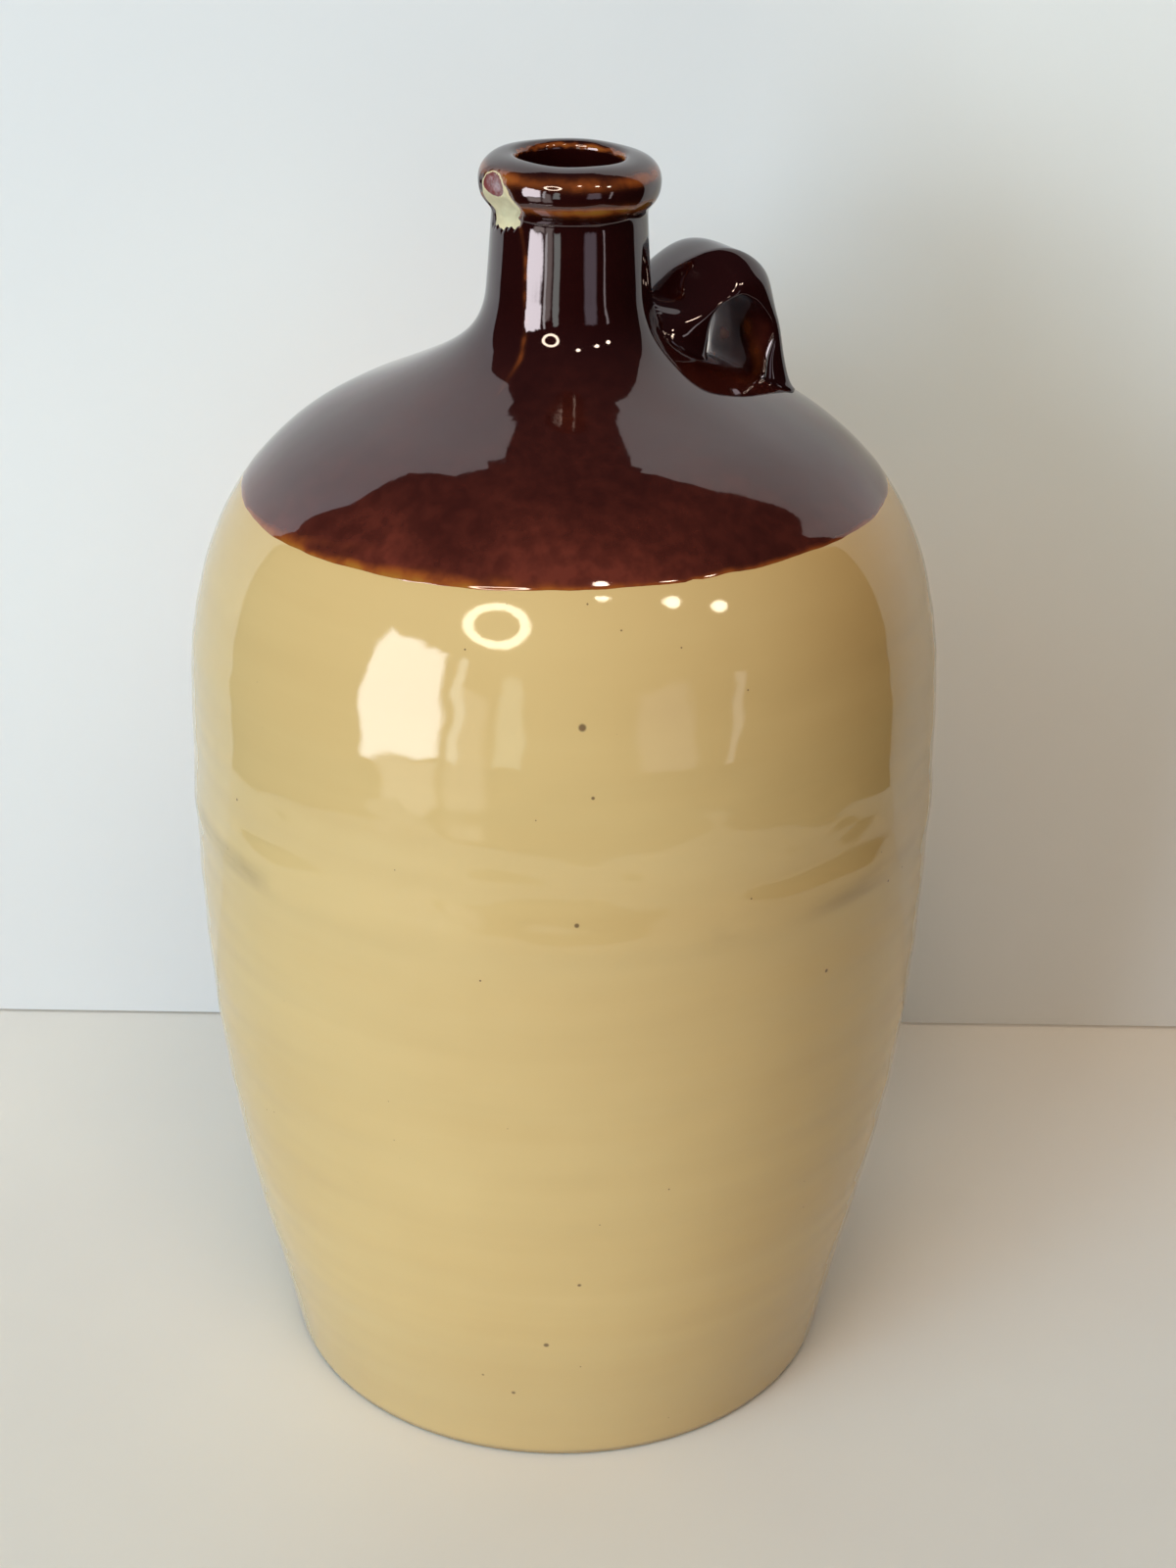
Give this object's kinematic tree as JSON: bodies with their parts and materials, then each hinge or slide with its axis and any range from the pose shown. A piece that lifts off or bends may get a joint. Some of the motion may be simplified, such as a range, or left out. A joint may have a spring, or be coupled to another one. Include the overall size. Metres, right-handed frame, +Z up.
{
  "type": "stoneware flagon",
  "caption": "Glazed stoneware flagon with a dark shoulder over a cream body, a rolled collar round a mouth for a cork, and a small strap loop handle.",
  "frame": {"origin": "centre of the base, on the surface that the flagon stands on", "axes": "+Z up along the throwing axis, +X towards the loop handle, +Y to complete a right-handed frame"},
  "size_m": [0.1816, 0.1816, 0.3083],
  "materials": {
    "stoneware_clay": "bare fired stoneware, dry and slightly gritty",
    "clay_slip": "fired slip, dry",
    "cream_glaze": "glossy cream to straw glaze with small iron specks",
    "dark_glaze": "glossy dark red-brown glaze, honey coloured where thin"
  },
  "bodies": {
    "root": {"lower_body": "stoneware_clay", "upper_body": "stoneware_clay", "belly_lute": "clay_slip", "loop_handle": "stoneware_clay", "neck_lute": "clay_slip", "shoulder_lute": "clay_slip", "cream_glaze": "cream_glaze", "dark_glaze": "dark_glaze", "loop_glaze": "dark_glaze", "liner_glaze": "cream_glaze"}
  },
  "joints": []
}
